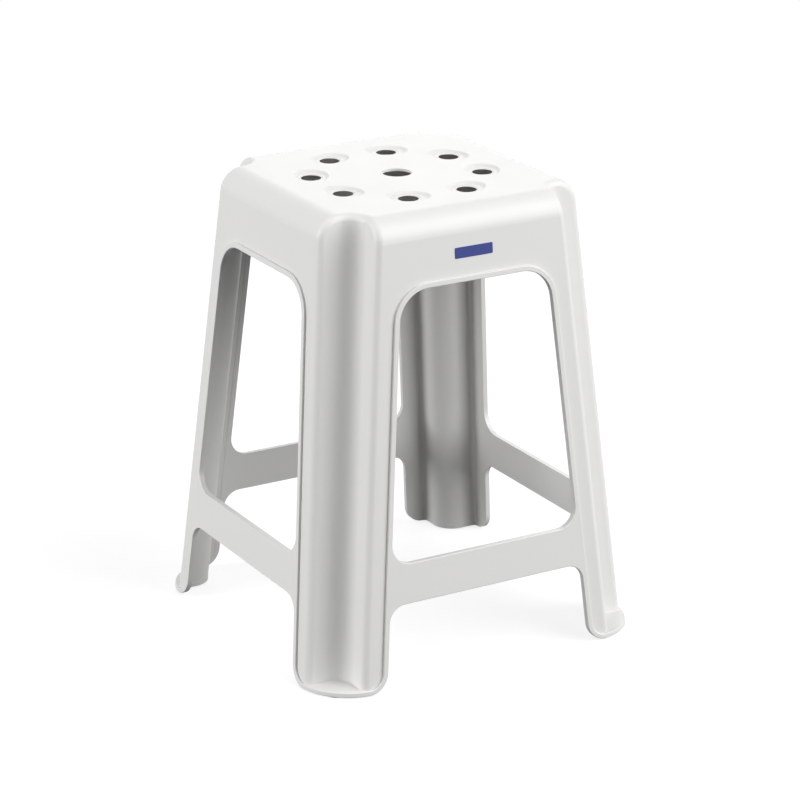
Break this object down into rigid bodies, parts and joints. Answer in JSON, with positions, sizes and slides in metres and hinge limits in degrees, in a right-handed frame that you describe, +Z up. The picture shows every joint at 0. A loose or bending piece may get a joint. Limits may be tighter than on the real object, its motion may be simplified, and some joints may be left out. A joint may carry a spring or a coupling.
{
  "type": "stacking stool",
  "caption": "Square one-piece moulded plastic stacking stool with fluted tapering legs, side openings, low stretchers and a perforated seat.",
  "frame": {"origin": "on the floor, under the middle of the seat", "axes": "+Z up; the front, with the label, faces -Y; +X is to the right seen from the front"},
  "size_m": [0.3618, 0.3618, 0.45],
  "materials": {
    "moulding": "white injection-moulded polypropylene, satin",
    "pad": "pale grey soft anti-slip rubber",
    "label": "plain blue self-adhesive film, blank"
  },
  "bodies": {
    "root": {"stool_body": "moulding", "foot_pad_front_left": "pad", "foot_pad_front_right": "pad", "foot_pad_rear_left": "pad", "foot_pad_rear_right": "pad", "blank_label": "label"}
  },
  "joints": []
}
